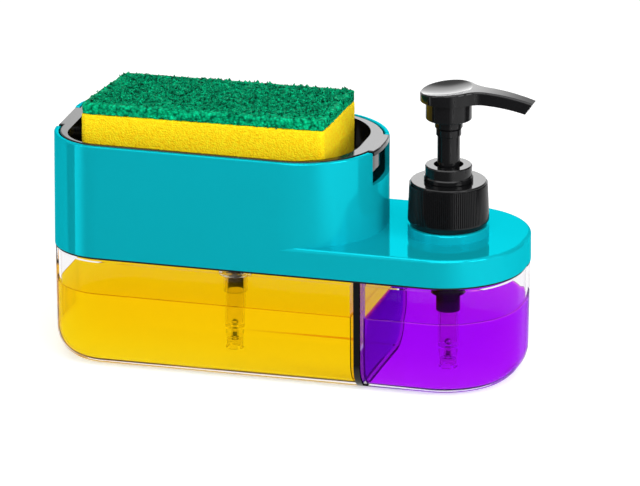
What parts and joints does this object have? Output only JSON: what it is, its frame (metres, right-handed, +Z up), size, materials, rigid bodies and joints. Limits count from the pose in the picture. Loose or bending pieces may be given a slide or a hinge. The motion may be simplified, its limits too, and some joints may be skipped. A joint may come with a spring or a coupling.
{
  "type": "soap pump caddy",
  "caption": "Sink caddy: clear soap tanks under a moulded cover, with a sponge tray pressed to pump dish soap and a swivelling lotion pump for hand soap.",
  "frame": {"origin": "on the table under the tanks, half of the body's length and depth", "axes": "+X along the body towards the hand pump, +Z up, the user stands at -Y"},
  "size_m": [0.2285, 0.085, 0.1414],
  "materials": {
    "clear_tank": "clear gloss",
    "dish_soap": "clear liquid",
    "hand_soap": "clear liquid",
    "teal_cover": "gloss",
    "black_plastic": "satin gloss",
    "seal_rubber": "matte",
    "natural_plastic": "milky",
    "steel": "bright",
    "yellow_foam": "open foam",
    "green_pad": "matted fibre"
  },
  "bodies": {
    "tanks": {"dish_tank": "clear_tank", "hand_tank": "clear_tank", "tank_seam_strip": "black_plastic", "tank_gasket": "seal_rubber", "dish_soap": "dish_soap", "hand_soap": "hand_soap"},
    "cover": {"cover": "teal_cover", "dish_pump_sleeve": "natural_plastic", "dish_pump_washer": "seal_rubber", "dish_lock_ring": "black_plastic", "dish_pump_cylinder": "natural_plastic", "dish_inlet_foot": "natural_plastic", "dish_inlet_ball": "steel", "dish_spring": "steel"},
    "dish_plunger": {"dish_stem": "black_plastic", "dish_piston_rod": "natural_plastic", "dish_piston": "natural_plastic"},
    "tray": {"sponge_tray": "black_plastic", "soap_outlet": "black_plastic"},
    "sponge": {"sponge_foam": "yellow_foam", "scouring_pad": "green_pad"},
    "hand_pump": {"hand_pump_sleeve": "black_plastic", "hand_pump_washer": "seal_rubber", "hand_pump_ring": "black_plastic", "hand_pump_cylinder": "natural_plastic", "hand_inlet_foot": "natural_plastic", "hand_inlet_ball": "steel", "hand_spring": "steel"},
    "pump_cap": {"hand_pump_cap": "black_plastic"},
    "hand_plunger": {"hand_piston_rod": "natural_plastic", "hand_piston": "natural_plastic"},
    "pump_head": {"pump_head": "black_plastic", "hand_stem": "black_plastic"}
  },
  "joints": [
    {"name": "cover_lift", "type": "slide", "parent": "tanks", "child": "cover", "axis": [0, 0, 1], "range_m": [0, 0.08]},
    {"name": "dish_press", "type": "slide", "parent": "cover", "child": "dish_plunger", "axis": [0, 0, 1], "range_m": [-0.012, 0], "stiffness_N_per_m": 300, "springref_m": 0.015, "deforming": ["dish_spring"]},
    {"name": "tray_lift", "type": "slide", "parent": "dish_plunger", "child": "tray", "axis": [0, 0, 1], "range_m": [0, 0.07]},
    {"name": "sponge_lift", "type": "slide", "parent": "tray", "child": "sponge", "axis": [0, 0, 1], "range_m": [0, 0.05]},
    {"name": "hand_pump_lift", "type": "slide", "parent": "cover", "child": "hand_pump", "axis": [0, 0, 1], "range_m": [0, 0.1]},
    {"name": "cap_turn", "type": "hinge", "parent": "hand_pump", "child": "pump_cap", "pos_m": [0.0746, 0, 0.085], "axis": [0, 0, 1], "range_deg": [0, 540]},
    {"name": "hand_press", "type": "slide", "parent": "hand_pump", "child": "hand_plunger", "axis": [0, 0, 1], "range_m": [-0.016, 0], "stiffness_N_per_m": 300, "springref_m": 0.012, "deforming": ["hand_spring"]},
    {"name": "head_swivel", "type": "hinge", "parent": "hand_plunger", "child": "pump_head", "pos_m": [0.0746, 0, 0.13], "axis": [0, 0, 1], "continuous": true}
  ]
}
